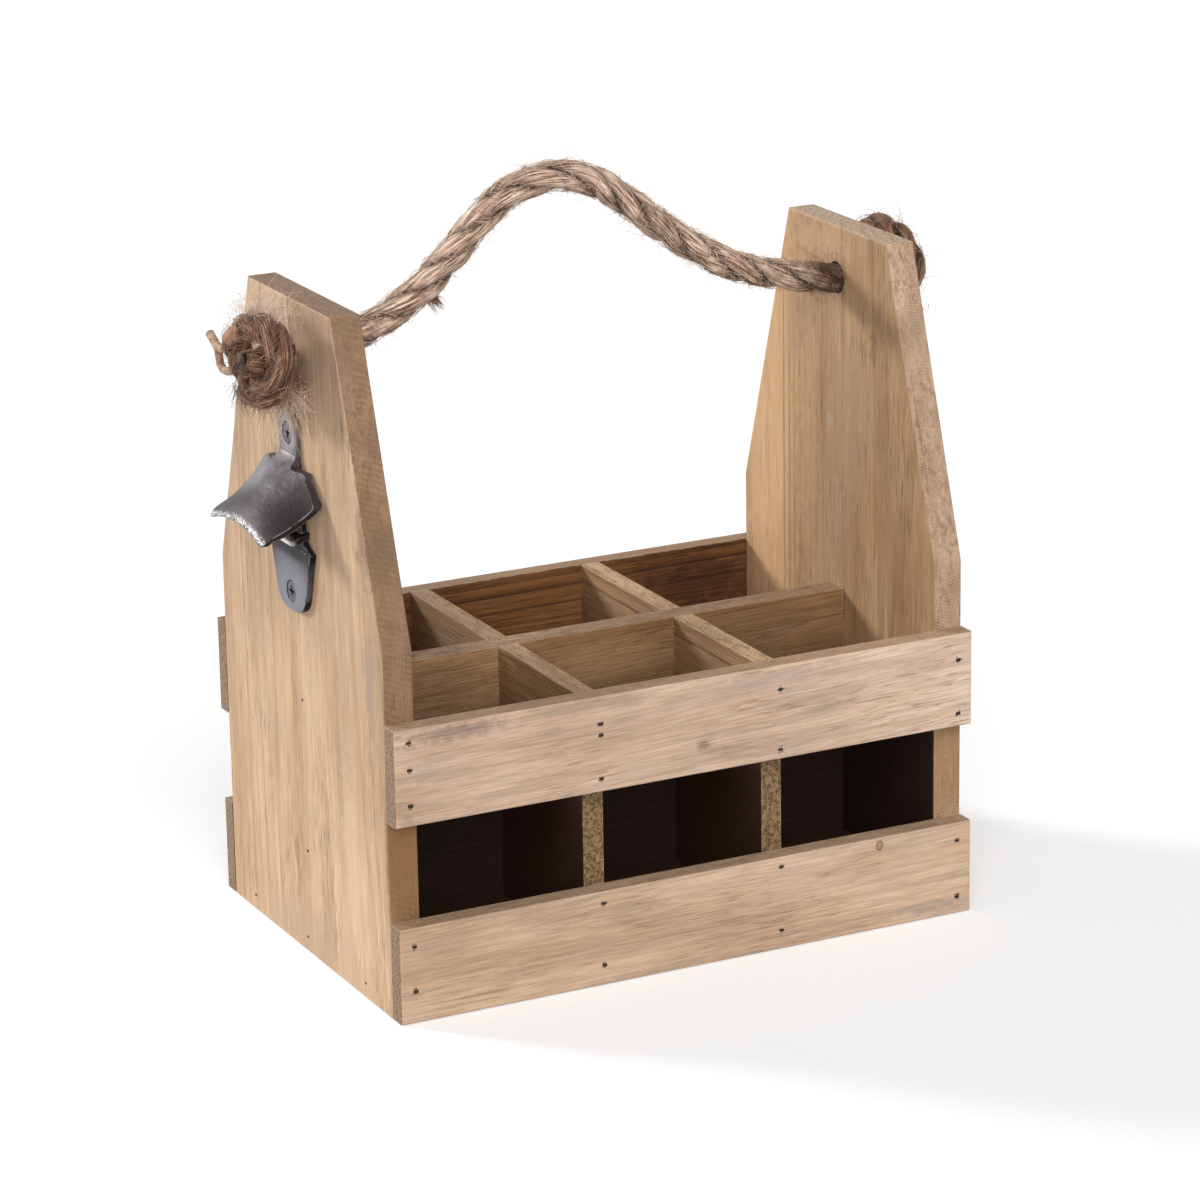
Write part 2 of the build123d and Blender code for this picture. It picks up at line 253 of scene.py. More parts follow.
origin = (0, 0, 0)
grainInputs = {"Place": origin, "Ring Width": 0.004, "Wander": 0.006, "Push": 0}
plankGrain = makeGroup("plankGrain", grainInputs, growPlank)
woodKnot = makeGroup("woodKnot", {"Place": origin, "Centre": origin, "Size": 0.004}, growKnot)
markInputs = {"Place": origin, "Centre": origin, "Spread": (0.01, 0.01, 0.01), "Ragged": 0.8}
smudge = makeGroup("smudge", markInputs, rubMark)
edgeWear = makeGroup("edgeWear", {"Radius": 0.0012, "Amount": 1, "Break Up": 160}, wearEdges)
weathering = makeGroup("weathering", {"Place": origin, "Amount": 0.5}, weatherPlank)
sawnFace = makeGroup("sawnFace", {"Place": origin, "Pitch": 0.0024}, sawPlank)
planerRipple = makeGroup("planerRipple", {"Place": origin, "Pitch": 0.002}, planePlank)
print("wood groups built")


def metres(lengths):
    return [length / 1000 for length in lengths]


# each mark: centre and spread in millimetres, raggedness, colour and strength
def smudged(place, colour, marks, streaks=None):
    for centre, spread, ragged, markColour, strength in marks:
        inputs = {"Place": place, "Centre": metres(centre), "Spread": metres(spread), "Ragged": ragged}
        share = times(streaks, strength) if streaks else strength
        colour = tint(times(useGroup(smudge, inputs)["Mask"], share), colour, markColour)
    return colour


def onFace(face, mark):  # two numbers for a mark's centre and spread get the third from the board's face
    centre, spread, *rest = mark
    if len(centre) == 3:
        return mark
    axis, at, deep = face
    return ((*centre[:axis], at, *centre[axis:]), (*spread[:axis], deep, *spread[axis:]), *rest)


def grainUp(place, grain):  # the board's axes in the order that puts its grain along Z
    part = parts(place)
    order = {"X": (1, 2, 0), "Y": (2, 0, 1), "Z": (0, 1, 2)}[grain]
    return wire("CombineXYZ", {n: part[axis] for n, axis in enumerate(order)})[0]


def headPlaces(node):  # the middle of each brad in a node, at the end that faces out of the caddy
    mesh = bmesh.new()
    mesh.from_mesh(nodes[node].data)
    bmesh.ops.remove_doubles(mesh, verts=mesh.verts, dist=0.00001)
    left, places = set(mesh.verts), []
    while left:
        reached, brad = [left.pop()], []
        while reached:
            vertex = reached.pop()
            brad.append(nodes[node].matrix_world @ vertex.co)
            joined = {edge.other_vert(vertex) for edge in vertex.link_edges} & left
            left -= joined
            reached.extend(joined)
        x, y, z = [(min(part) + max(part)) / 2 for part in zip(*brad)]
        places.append((x, max((point.y for point in brad), key=abs), z))
    mesh.free()
    return sorted(places)


def newMaterial(name):
    material = bpy.data.materials.new(name)
    material.use_nodes = True
    material.node_tree.nodes.clear()
    return material, material.node_tree, wire("TexCoord", tree=material.node_tree)


def dress(colour, rough, bump, constants):  # the material's shader, on its surface
    inputs = {"Base Color": colour, "Roughness": rough, "Normal": wire("Bump", bump)[0], **constants}
    wire("OutputMaterial", {"Surface": wire("BsdfPrincipled", inputs)[0]})


def woodMasks(board, spot, tree):  # where each thing shows on a board
    turned, normal = grainUp(spot["Object"], board["grain"]), parts(spot["Normal"])[board["broadAxis"]]
    lean = [radians(angle) for angle in board["lean"]]
    log = wire("Mapping", {"Vector": turned, "Location": board["pith"], "Rotation": (*lean, 0)})[0]
    push, cores, rims = 0, 0, 0
    for centre, width in board["knots"]:
        found = useGroup(woodKnot, {"Place": spot["Object"], "Centre": centre, "Size": width})
        push = calc("ADD", found["Push"], push)
        cores = calc("MAXIMUM", found["Core"], cores)
        rims = calc("MAXIMUM", found["Rim"], rims)
    growth = {"Place": log, "Ring Width": board["ringWidth"], "Wander": board["wander"], "Push": push}
    rubbing = {"Radius": board["wornWidth"], "Amount": board["worn"], "Break Up": board["wornBreakUp"]}
    grain = useGroup(plankGrain, growth)
    sawn = useGroup(sawnFace, {"Place": turned, "Pitch": board["sawPitch"]})
    return SimpleNamespace(
        rings=grain["Rings"], fibres=grain["Fibres"], pores=grain["Pores"], blotches=grain["Blotches"],
        lines=sawn["Lines"], speckle=sawn["Speckle"], cores=cores, rims=rims, along=parts(spot["Object"]),
        dirt=between(cloud(turned, (340, 340, 130), detail=4, rough=0.7), 0.5, 0.64),
        ripple=useGroup(planerRipple, {"Place": turned, "Pitch": board["ripplePitch"]})["Wave"],
        grey=useGroup(weathering, {"Place": log, "Amount": board["grey"]})["Mask"],
        worn=useGroup(edgeWear, rubbing, tree)["Mask"],
        endCut=between(calc("ABSOLUTE", parts(grainUp(spot["Normal"], board["grain"]))[2]), 0.6, 0.85),
        sideCut=between(calc("ABSOLUTE", normal), 0.75, 0.5),
        inside=between(times(normal, board["inwards"]), 0.5, 0.85),
    )


def broadColour(board, wood):  # the stain differs along a board; the side that faces the cells is darker, partly from its stain and partly from painted shade
    lengthwise = between(wood.along[board["fadeAxis"]], *board["fade"])
    light = tint(wood.inside, tint(lengthwise, board["light"], board["farLight"]), board["inside"])
    brown = tint(wood.inside, tint(lengthwise, board["brown"], board["farBrown"]), board["insideBrown"])
    dark = tint(wood.inside, board["dark"], board["insideDark"])
    colour = tint(wood.blotches, light, brown)
    colour = tint(times(wood.rings, board["ringDepth"]), colour, dark)
    shade = between(wood.fibres, 0, 1, board["fibreDark"], board["fibreLight"])
    shade = plus(shade, wood.ripple, board["rippleShade"])
    colour = tint(1, colour, wire("CombineColor", {0: shade, 1: shade, 2: shade})[0], "MULTIPLY")
    grey = times(wood.grey, calc("SUBTRACT", 1, wood.inside)) if board["inwards"] else wood.grey
    colour = tint(grey, colour, board["greyColour"])
    return tint(times(wood.pores, board["pores"]), colour, dark)


def withCuts(board, wood, colour):  # the colour, with the narrow faces and the cut ends over it
    masks = (wood.lines, wood.blotches, wood.fibres, wood.speckle, wood.pores, wood.dirt)
    edgeColour = board["edge"]
    for mask, (share, over) in zip(masks, board["onEdges"]):
        edgeColour = tint(times(mask, share), edgeColour, board[over])
    endColour = tint(wood.speckle, board["end"], board["endDark"])
    endColour = tint(times(wood.rings, 0.6), endColour, board["endDark"])
    return tint(wood.endCut, tint(times(wood.sideCut, 0.9), colour, edgeColour), endColour)


def withBrads(board, place, colour):  # each brad has torn and stained the wood round its head
    nearest = 1
    for head in headPlaces(board["brads"]):
        nearest = calc("MINIMUM", distance(place, head), nearest)
    nearest = plus(nearest, cloud(place, 650, rough=0.6), board["tornRagged"])
    return tint(between(nearest, *board["tornReach"]), colour, board["torn"])


def stainedWood(name, board):
    material, tree, spot = newMaterial(name)
    place = spot["Object"]
    wood = woodMasks(board, spot, tree)
    colour = withCuts(board, wood, broadColour(board, wood))
    if board["knots"]:
        coreShare, rimShare = board["knotShares"]
        colour = tint(times(wood.cores, coreShare), colour, board["knotCore"])
        colour = tint(times(wood.rims, rimShare), colour, board["knotRim"])
    streaks = between(wood.fibres, 0.85, 0.15, board["streakFloor"], 1)
    colour = smudged(place, colour, [onFace(board["face"], mark) for mark in board["marks"]], streaks)
    if "brads" in board:
        colour = withBrads(board, place, colour)
    # low down in the cells the wood is painted nearly black, as painted shade, apart from the cut ends at the
    # front
    depth = between(wood.along[2], *board["cellShadeHeights"])
    depth = times(depth, calc("SUBTRACT", 1, calc("MAXIMUM", wood.endCut, wood.sideCut)))
    depth = times(depth, wood.inside) if board["inwards"] else depth
    colour = tint(times(depth, board["cellShadeShare"]), colour, board["deep"])
    worn = times(wood.worn, calc("SUBTRACT", 1, depth))
    colour = tint(times(worn, board["paleShare"]), colour, board["pale"])

    height = board["heights"]
    relief = plus(times(wood.fibres, height["fibres"]), wood.rings, height["rings"])
    relief = plus(plus(relief, wood.pores, height["pores"]), wood.ripple, height["ripple"])
    relief = plus(relief, times(wood.lines, wood.sideCut), height["lines"])
    relief = plus(relief, times(wood.speckle, wood.endCut), height["speckle"])
    bump = {"Strength": 0.55, "Distance": board["relief"], "Height": relief}
    dress(colour, plus(board["rough"], wood.fibres, 0.15), bump, {"Specular IOR Level": 0.25})
    return material


def paint(node, material):
    solid = nodes[node]
    solid.data.materials.clear()
    solid.data.materials.append(material)


plank = {  # values that every board starts from
    "lean": (1.2, -0.8),  # how far the pith leans from the board, in degrees
    "pith": (0.03, 0.05, 0),  # how far it lies from the caddy's middle
    "knots": (),  # centre and size of each
    "marks": (),
    "face": None,  # axis across the marked face, where it lies and how deep marks go, in millimetres
    "ringWidth": 0.0042, "ringDepth": 0.34, "wander": 0.014,
    "fibreDark": 0.82, "fibreLight": 1.14, "pores": 0.5,
    "onEdges": (  # share and colour of the masks on narrow faces, in withCuts' order
        (0.75, "edgeDark"), (0.55, "edgeDark"), (0.45, "edgeDark"),
        (0.3, "dark"), (0.5, "dark"), (0.6, "dark"),
    ),
    "sawPitch": 0.0021, "ripplePitch": 0.0017, "rippleShade": 0.009,
    "grey": 0.45, "greyColour": (0.27, 0.215, 0.175),
    "streakFloor": 0.6,  # how much of a mark's strength is left on its palest fibres
    "fadeAxis": 0,  # along this axis light and brown turn into farLight and farBrown
    "fade": (-0.13, 0.13),
    "light": (0.6, 0.415, 0.29), "brown": (0.47, 0.3, 0.185),
    "farLight": (0.66, 0.475, 0.345), "farBrown": (0.56, 0.385, 0.26),
    "dark": (0.27, 0.155, 0.085),
    "inwards": 0,  # which way along the broad axis the cells lie; 0 for a board with cells on both sides
    # colours of the side that faces the cells: darker stain with painted shade in it
    "inside": (0.235, 0.115, 0.045), "insideBrown": (0.145, 0.064, 0.024), "insideDark": (0.03, 0.012, 0.005),
    "edge": (0.5, 0.345, 0.225), "edgeDark": (0.3, 0.185, 0.105),
    "end": (0.36, 0.245, 0.155), "endDark": (0.18, 0.11, 0.065),
    # painted shade low down in the cells: its colour, the heights where it starts and where it is full, and
    # its share
    "deep": (0.036, 0.0165, 0.008),
    "cellShadeHeights": (0.116, 0.062),
    "cellShadeShare": 1,
    "pale": (0.7, 0.54, 0.39),
    "paleShare": 0.7,
    "knotCore": (0.24, 0.12, 0.05),
    "knotRim": (0.11, 0.055, 0.03),
    "knotShares": (0.45, 0.75),  # of the core's colour and of the rim's
    "torn": (0.1, 0.06, 0.038),
    "tornRagged": 0.0036,
    "tornReach": (0.0034, 0.0026),  # from a brad's head to where the stain ends and where it is full
    "worn": 0.8, "wornWidth": 0.001, "wornBreakUp": 170,
    "relief": 0.0004,
    # how far each thing stands out of the wood, as a share of the relief
    "heights": {"fibres": 0.6, "rings": -0.4, "pores": -0.6, "ripple": 0.12, "lines": 1.2, "speckle": -1.4},
    "rough": 0.56,
}
endBoard = {"grain": "Z", "broadAxis": 0, "cellShadeHeights": (0.1, 0.075), "deep": (0.022, 0.011, 0.006)}
slat = {"grain": "X", "broadAxis": 1}
frontSlat = {**slat, "inwards": 1, "face": (1, -89.5, 4), "ringDepth": 0.26}
boards = {}
boards["end_board_left"] = {
    **endBoard, "inwards": 1, "face": (0, -130, 4), "pith": (0.075, 0.02, 0), "ringWidth": 0.0055,
    "ringDepth": 0.26, "sawPitch": 0.0027, "fadeAxis": 2, "fade": (0.02, 0.25),
    "grey": 0.35, "greyColour": (0.36, 0.265, 0.185), "dark": (0.16, 0.088, 0.045),
    "light": (0.67, 0.46, 0.285), "brown": (0.56, 0.365, 0.21),
    "farLight": (0.64, 0.445, 0.285), "farBrown": (0.5, 0.33, 0.205),
    "edge": (0.45, 0.285, 0.168), "edgeDark": (0.185, 0.103, 0.05),
    "inside": (0.36, 0.22, 0.12), "insideBrown": (0.28, 0.16, 0.08), "insideDark": (0.12, 0.06, 0.03),
    "marks": (
        ((-130, 10.5, 34), (3, 1.6, 17), 0.5, (0.3, 0.165, 0.08), 0.75),
        ((6, 95), (6, 26), 0.9, (0.42, 0.24, 0.12), 0.55),
        ((-68, 135), (6, 24), 0.9, (0.3, 0.24, 0.2), 0.75),
        ((-20, 150), (16, 20), 0.9, (0.43, 0.27, 0.16), 0.55),
        ((45, 150), (10, 45), 0.9, (0.42, 0.27, 0.165), 0.5),
        ((-45, 55), (10, 50), 0.8, (0.7, 0.5, 0.33), 0.6),
        # painted shade of the slats on the front edge between them
        ((-123.5, -81, 66), (20, 3, 36), 0.2, (0.245, 0.12, 0.042), 1),
        ((0, 6), (70, 20), 0.8, (0.48, 0.345, 0.25), 0.6),
        ((-123.5, -68, 190), (20, 12, 18), 0.9, (0.19, 0.115, 0.065), 0.7),
        ((-123.5, -58, 232), (20, 10, 12), 0.9, (0.2, 0.12, 0.07), 0.55),
        ((-123.5, -50, 272), (20, 12, 6), 0.9, (0.24, 0.16, 0.1), 0.6),
    ),
}
boards["end_board_right"] = {
    **endBoard, "inwards": -1, "face": (0, 117, 4), "pith": (-0.19, 0.045, 0), "lean": (-1, 1.4),
    "ringDepth": 0.4, "sawPitch": 0.0014, "pores": 0.75, "dark": (0.235, 0.13, 0.067),
    "edge": (0.72, 0.52, 0.375), "edgeDark": (0.33, 0.205, 0.12),
    "end": (0.64, 0.49, 0.35), "endDark": (0.3, 0.205, 0.13),
    "inside": (0.47, 0.295, 0.16), "insideBrown": (0.37, 0.21, 0.098), "insideDark": (0.17, 0.088, 0.036),
    "marks": (
        ((60, 165), (2.6, 100), 0.5, (0.12, 0.085, 0.055), 0.85),
        ((58, 180), (30, 250), 0.2, (0.8, 0.49, 0.255), 0.85),
        ((24, 190), (11, 120), 0.6, (0.58, 0.36, 0.205), 0.5),
        ((45.5, 170), (0.9, 110), 0.5, (0.22, 0.12, 0.05), 0.8),
        ((40.5, 160), (1.1, 100), 0.5, (0.2, 0.12, 0.06), 0.7),
        ((36.5, 150), (0.8, 100), 0.5, (0.26, 0.15, 0.07), 0.6),
        ((-50, 140), (10, 50), 0.9, (0.33, 0.175, 0.075), 0.5),
        ((-31, 232), (3.5, 9), 0.9, (0.2, 0.1, 0.04), 0.85),
        ((-40, 226), (3, 7), 0.9, (0.22, 0.12, 0.05), 0.6),
        ((5.5, 191.5), (2.8, 3.6), 0.4, (0.56, 0.5, 0.5), 0.5),
        ((-2, 150), (4, 24), 0.9, (0.44, 0.34, 0.26), 0.45),
        ((-3, 160), (20, 75), 0.6, (0.31, 0.185, 0.105), 0.5),
        ((20, 267), (35, 12), 0.8, (0.68, 0.43, 0.26), 0.55),
        ((-12, 190), (16, 45), 0.7, (0.42, 0.29, 0.18), 0.5),
        # painted shade of the slats on the front edge between them
        ((123.5, -81, 66), (20, 3, 36), 0.2, (0.34, 0.185, 0.082), 1),
        ((123.5, -55, 245), (20, 8, 14), 0.9, (0.36, 0.25, 0.165), 0.5),
        ((119.5, -64, 195), (0.5, 20, 50), 0.1, (0.2, 0.12, 0.065), 0.75),
        ((123.5, -74, 140), (20, 6, 18), 0.7, (0.4, 0.26, 0.15), 0.6),
    ),
}
boards["front_slat_upper"] = {
    **frontSlat, "brads": "front_upper_brads", "pith": (0.13, -0.12, 0), "grey": 0.6,
    "light": (0.64, 0.46, 0.335), "brown": (0.52, 0.345, 0.23),
    "farLight": (0.76, 0.57, 0.44), "farBrown": (0.66, 0.475, 0.35), "pale": (0.78, 0.62, 0.47),
    "marks": (
        ((-105, 117.5), (28, 4), 1, (0.22, 0.165, 0.13), 0.9),
        ((-50, 119), (35, 3), 1, (0.36, 0.27, 0.2), 0.6),
        ((40, 117), (40, 4), 1, (0.4, 0.32, 0.26), 0.6),
        ((95, 112), (25, 4), 1, (0.47, 0.37, 0.3), 0.6),
        ((6, 94), (4, 2.8), 0.9, (0.16, 0.11, 0.08), 0.8),
        ((10, 91), (10, 2), 0.9, (0.32, 0.24, 0.19), 0.6),
        ((-115, 104), (10, 8), 1, (0.4, 0.31, 0.25), 0.6),
        ((-60, 92), (30, 2), 0.9, (0.42, 0.29, 0.19), 0.6),
        ((60, 98), (45, 1.4), 0.7, (0.52, 0.36, 0.245), 0.7),
        ((90, 88), (35, 1.2), 0.7, (0.54, 0.38, 0.26), 0.7),
        ((-125, 84), (6, 4), 0.9, (0.33, 0.24, 0.18), 0.7),
    ),
}
boards["front_slat_lower"] = {
    **frontSlat, "brads": "front_lower_brads", "pith": (0.11, -0.03, 0),
    "light": (0.59, 0.415, 0.28), "brown": (0.5, 0.33, 0.21),
    "farLight": (0.68, 0.495, 0.355), "farBrown": (0.585, 0.4, 0.27), "pale": (0.76, 0.6, 0.45),
    "knots": (((0.0865, -0.0895, 0.0365), 0.0015),),
    "marks": (
        ((-95, 6.6), (36, 0.7), 0.35, (0.25, 0.155, 0.09), 0.8),
        ((-80, 13.5), (55, 0.5), 0.35, (0.36, 0.23, 0.14), 0.6),
        ((-60, 21.5), (70, 0.5), 0.35, (0.4, 0.26, 0.16), 0.55),
        ((20, 27), (80, 0.6), 0.35, (0.46, 0.31, 0.2), 0.6),
        ((70, 17), (60, 0.5), 0.35, (0.47, 0.32, 0.21), 0.6),
        ((50, 8.5), (45, 0.6), 0.4, (0.44, 0.3, 0.2), 0.6),
        ((-110, 31), (20, 6), 1, (0.4, 0.28, 0.19), 0.6),
        ((-86, 14), (6, 9), 1, (0.42, 0.29, 0.19), 0.5),
        ((112, 5), (24, 4), 1, (0.36, 0.28, 0.22), 0.75),
        ((0, 2), (60, 2.2), 1, (0.42, 0.3, 0.21), 0.6),
        ((50, 24), (30, 8), 1, (0.7, 0.52, 0.38), 0.3),
    ),
}
boards["back_slat_lower"] = {**slat, "inwards": -1, "brads": "back_lower_brads", "pith": (-0.12, -0.05, 0)}
boards["back_slat_upper"] = {
    **slat, "inwards": -1, "brads": "back_upper_brads", "pith": (-0.115, -0.16, 0), "ringDepth": 0.85,
    "ringWidth": 0.0034, "lean": (0.3, -0.2), "wander": 0.006, "pores": 0.9, "fibreDark": 0.7,
    "knots": (((-0.035, 0.0895, 0.103), 0.003),), "cellShadeHeights": (0.09, 0.06),
    "edge": (0.42, 0.28, 0.17), "edgeDark": (0.25, 0.15, 0.085),
    "inside": (0.245, 0.107, 0.035), "insideBrown": (0.145, 0.058, 0.019),
    # painted shade, near black, on the inner face in the right-hand cell
    "marks": (((92, 81, 104), (36, 6, 15), 0.6, (0.026, 0.009, 0.0035), 0.75),),
}
inner = {  # sawn boards inside, stained darker
    "light": (0.42, 0.25, 0.122), "farLight": (0.38, 0.22, 0.105),
    "brown": (0.29, 0.155, 0.068), "farBrown": (0.25, 0.133, 0.057),
    "dark": (0.12, 0.06, 0.025), "edge": (0.74, 0.515, 0.31), "edgeDark": (0.27, 0.165, 0.088),
    "end": (0.34, 0.215, 0.105), "endDark": (0.11, 0.06, 0.027), "pale": (0.6, 0.45, 0.31),
    "ringDepth": 0.35, "fibreDark": 0.78, "fibreLight": 1.12, "relief": 0.0005,
    "grey": 0.4, "greyColour": (0.22, 0.165, 0.12), "sawPitch": 0.0017,
}
pencilLine = ((0, 0, 113), (200, 200, 0.8), 0.25, (0.07, 0.035, 0.02), 0.8)
for count, end in enumerate(("front_left", "front_right", "back_left", "back_right")):
    cross = {**inner, "grain": "Y", "broadAxis": 0, "pith": (-0.03 - 0.02 * count, 0.06 - 0.03 * count, 0)}
    if end.endswith("right"):
        cross["marks"] = (pencilLine,)
    boards["cross_divider_" + end] = cross
boards["long_divider"] = {
    **inner, **slat, "pith": (0.05, -0.16, 0), "deep": (0.019, 0.0085, 0.0045), "cellShadeHeights": (0.1175, 0.07),
    "edge": (0.56, 0.385, 0.235), "edgeDark": (0.21, 0.125, 0.068),
    "marks": (
        ((0, -5.5, 105), (36, 4, 14), 0.6, (0.42, 0.245, 0.12), 0.55),
        ((-67, -5.5, 107), (30, 4, 14), 0.6, (0.12, 0.055, 0.028), 0.5),
    ),
}
boards["bottom_board"] = {
    # the whole bottom board lies in the painted shade
    **inner, "grain": "X", "broadAxis": 2, "pith": (0.04, 0.08, 0), "cellShadeHeights": (0.2, 0.1),
}
for name, board in boards.items():
    paint(name, stainedWood(name + "_wood", {**plank, **board}))
print("boards stained:", len(boards))


def castIron(name, iron):
    material, tree, spot = newMaterial(name)
    place, normal = spot["Object"], parts(spot["Normal"])
    mottle = cloud(place, iron["mottle"], rough=0.6)
    grit = cloud(place, iron["grit"], rough=0.7)
    brushed = cloud(place, iron["brushing"], rough=0.6)
    values = {"Radius": iron["edge"], "Amount": iron["worn"], "Break Up": iron["breakUp"]}
    worn = useGroup(edgeWear, values, tree)["Mask"]
    colour = tint(between(mottle, *iron["mottleEdge"]), iron["dark"], iron["light"])
    brushing = times(between(brushed, *iron["brushedEdge"]), iron["brushedShare"])
    colour = smudged(place, tint(brushing, colour, iron["streak"]), iron["marks"])
    colour = tint(times(between(grit, *iron["gritEdge"]), iron["gritShare"]), colour, iron["streak"])
    for centre, radius in iron["seats"]:  # painted shade in a dark ring round each screw's head
        away = stretch(vector("SUBTRACT", place, centre), (0, 1, 1))
        off = calc("ABSOLUTE", calc("SUBTRACT", size(away), radius))
        colour = tint(times(between(off, *iron["seatRing"]), iron["seatShade"]), colour, iron["under"])
    # faces that point down are painted nearly black, as painted shade
    colour = tint(between(normal[2], -0.15, -0.5), colour, iron["under"])
    # painted highlights, over the painted shade
    colour = smudged(place, colour, iron["glints"])
    if "ridge" in iron:  # the hood's lip is rubbed bright in specks where caps have scraped it
        lip = times(between(parts(place)[0], *iron["ridge"]), between(normal[2], 0.1, 0.45))
        specks = between(cloud(place, 1300, rough=0.7), 0.47, 0.6)
        colour = tint(times(lip, specks), colour, iron["bright"])
    colour = tint(worn, colour, iron["bright"])
    rough = between(mottle, 0.3, 0.7, iron["rough"] + 0.08, iron["rough"])
    relief = plus(plus(cloud(place, iron["dents"], detail=2), grit, 0.35), brushed, 0.3)
    soft = wire("Bevel", {"Radius": iron["soften"]}, tree, samples=6)[0]
    bump = {"Strength": 0.5, "Distance": iron["relief"], "Height": relief, "Normal": soft}
    dress(colour, rough, bump, {"Metallic": iron["metal"], "Specular IOR Level": 0.35})
    return material


castMetal = {  # values that the opener, the screws and the brads start from
    "seats": (), "seatRing": (0.0007, 0.0003), "seatShade": 0.95, "marks": (), "glints": (),
    "mottleEdge": (0.32, 0.68), "brushedEdge": (0.42, 0.66), "brushedShare": 0.4,
    "gritEdge": (0.6, 0.74), "gritShare": 0.5, "breakUp": 420,
}
openerIron = {
    **castMetal,
    "dark": (0.04, 0.032, 0.033), "light": (0.072, 0.063, 0.067), "streak": (0.11, 0.104, 0.11),
    # under is the colour of the painted shade: on faces that point down and round the screws' heads
    "bright": (0.58, 0.56, 0.55), "under": (0.006, 0.005, 0.005),
    "mottle": 90, "grit": 1300, "dents": 420, "relief": 0.0004, "brushing": (260, 260, 60),
    "edge": 0.0008, "worn": 0.6, "soften": 0.001, "rough": 0.47, "metal": 0.58,
    "ridge": (-0.1535, -0.1549),  # along the caddy, from where the lip starts to where it is fully rubbed
    "seats": (((-0.1324, 0, 0.221), 0.0043), ((-0.133, 0, 0.1555), 0.0043)),
    "marks": (  # painted light on the hood's upper left, on the tab and on the pad; painted shade on the hood's right side and lip; the hood's painted shadow, near black, on the plate below it
        ((-140, 16, 203), (18, 17, 13), 0.35, (0.175, 0.168, 0.18), 0.9),
        ((-140, -20, 190), (22, 22, 20), 0.3, (0.016, 0.012, 0.012), 0.97),
        ((-152, 2, 193), (10.5, 26, 11.5), 0.35, (0.034, 0.026, 0.026), 0.85),
        ((-132.5, 0, 221), (6, 12, 13), 0.2, (0.34, 0.315, 0.31), 1),
        ((-133, 0, 156), (4, 30, 18.5), 0.1, (0.205, 0.21, 0.24), 1),
        ((-134.5, -4, 186.5), (8.5, 30, 16.5), 0.1, (0.007, 0.006, 0.006), 1),
        ((-133.5, -4, 173.8), (8.5, 60, 5), 0.1, (0.007, 0.006, 0.006), 1),
    ),
    "glints": (  # painted highlight on the tooth's end, which the hood shades from the lamps
        ((-137.8, -5, 179), (3.5, 10.5, 3.2), 0.1, (0.9, 0.88, 0.85), 1),
    ),
}
screwSteel = {
    **castMetal,
    "dark": (0.1, 0.1, 0.11), "light": (0.16, 0.16, 0.175), "streak": (0.2, 0.2, 0.22),
    "bright": (0.3, 0.3, 0.32), "under": (0.05, 0.05, 0.055),
    "mottle": 500, "grit": 2500, "dents": 900, "relief": 0.0001, "brushing": (900, 900, 900),
    "edge": 0.0003, "worn": 0.3, "soften": 0.0003, "rough": 0.36, "metal": 0.85,
    "marks": (  # painted shade in the crossed recesses
        ((-130.8, 0, 221), (1.8, 8, 8), 0, (0.004, 0.004, 0.004), 1),
        ((-131.4, 0, 155.5), (1.8, 8, 8), 0, (0.004, 0.004, 0.004), 1),
    ),
}
bradSteel = {
    **castMetal,
    "dark": (0.012, 0.008, 0.006), "light": (0.035, 0.025, 0.02), "streak": (0.06, 0.05, 0.04),
    "bright": (0.16, 0.14, 0.125), "under": (0.012, 0.008, 0.006),
    "mottle": 900, "grit": 3000, "dents": 1500, "relief": 0.00005, "brushing": (900, 900, 900),
    "edge": 0.0002, "worn": 0.25, "soften": 0.0002, "rough": 0.65, "metal": 0.3,
}
paint("bottle_opener", castIron("opener_iron", openerIron))
paint("opener_screws", castIron("screw_steel", screwSteel))
bradMaterial = castIron("brad_steel", bradSteel)
for name in nodes:
    if name.endswith("_brads"):
        paint(name, bradMaterial)
print("iron and steel done")

rope = {
    "strands": 3,
    "spanDiameter": 0.013,
    "knotDiameter": 0.0116,
    "spanTurns": 5,  # twists of the lay between the end boards
    "knotTurns": 3,
    "strandRadius": 0.305,  # shares of the rope's diameter
    "strandOffset": 0.195,
    "uneven": ((0.22, 71), (0.12, 163)),  # how far the lay strays from an even twist, and how often
    "swell": ((0.05, 190), (0.035, 410)),  # how far a strand thickens and thins, and how often
    "yarns": 6,  # in each strand
    "yarnPitch": 0.05,
    "yarnUneven": (0.6, 1.4),
    "yarnCore": 0.93,  # shares of the strand's radius
    "yarnDepth": 0.075,
    "yarnCrown": 0.6,  # the power that rounds a yarn's top
    "groove": (0.7, 0.24),  # from the rope's middle, where the painted shade of the grooves ends and how soft its edge is
    "yarnGaps": 0.2,  # how dark the painted shade in the gaps between yarns is
    "sides": 40,
    "step": 0.0011,
    "holeHeight": 0.254,
    "seat": 0.1303,
}
# the span's line: places along the caddy, and heights above the holes
spanRoute = (
    (-0.1303, 0), (-0.108, 0), (-0.087, 0.0085), (-0.066, 0.0225), (-0.047, 0.043), (-0.033, 0.0536),
    (-0.017, 0.0578), (-0.001, 0.0562), (0.014, 0.048), (0.03, 0.035), (0.049, 0.021), (0.07, 0.0095),
    (0.094, 0.0035), (0.113, 0), (0.1303, 0),
)
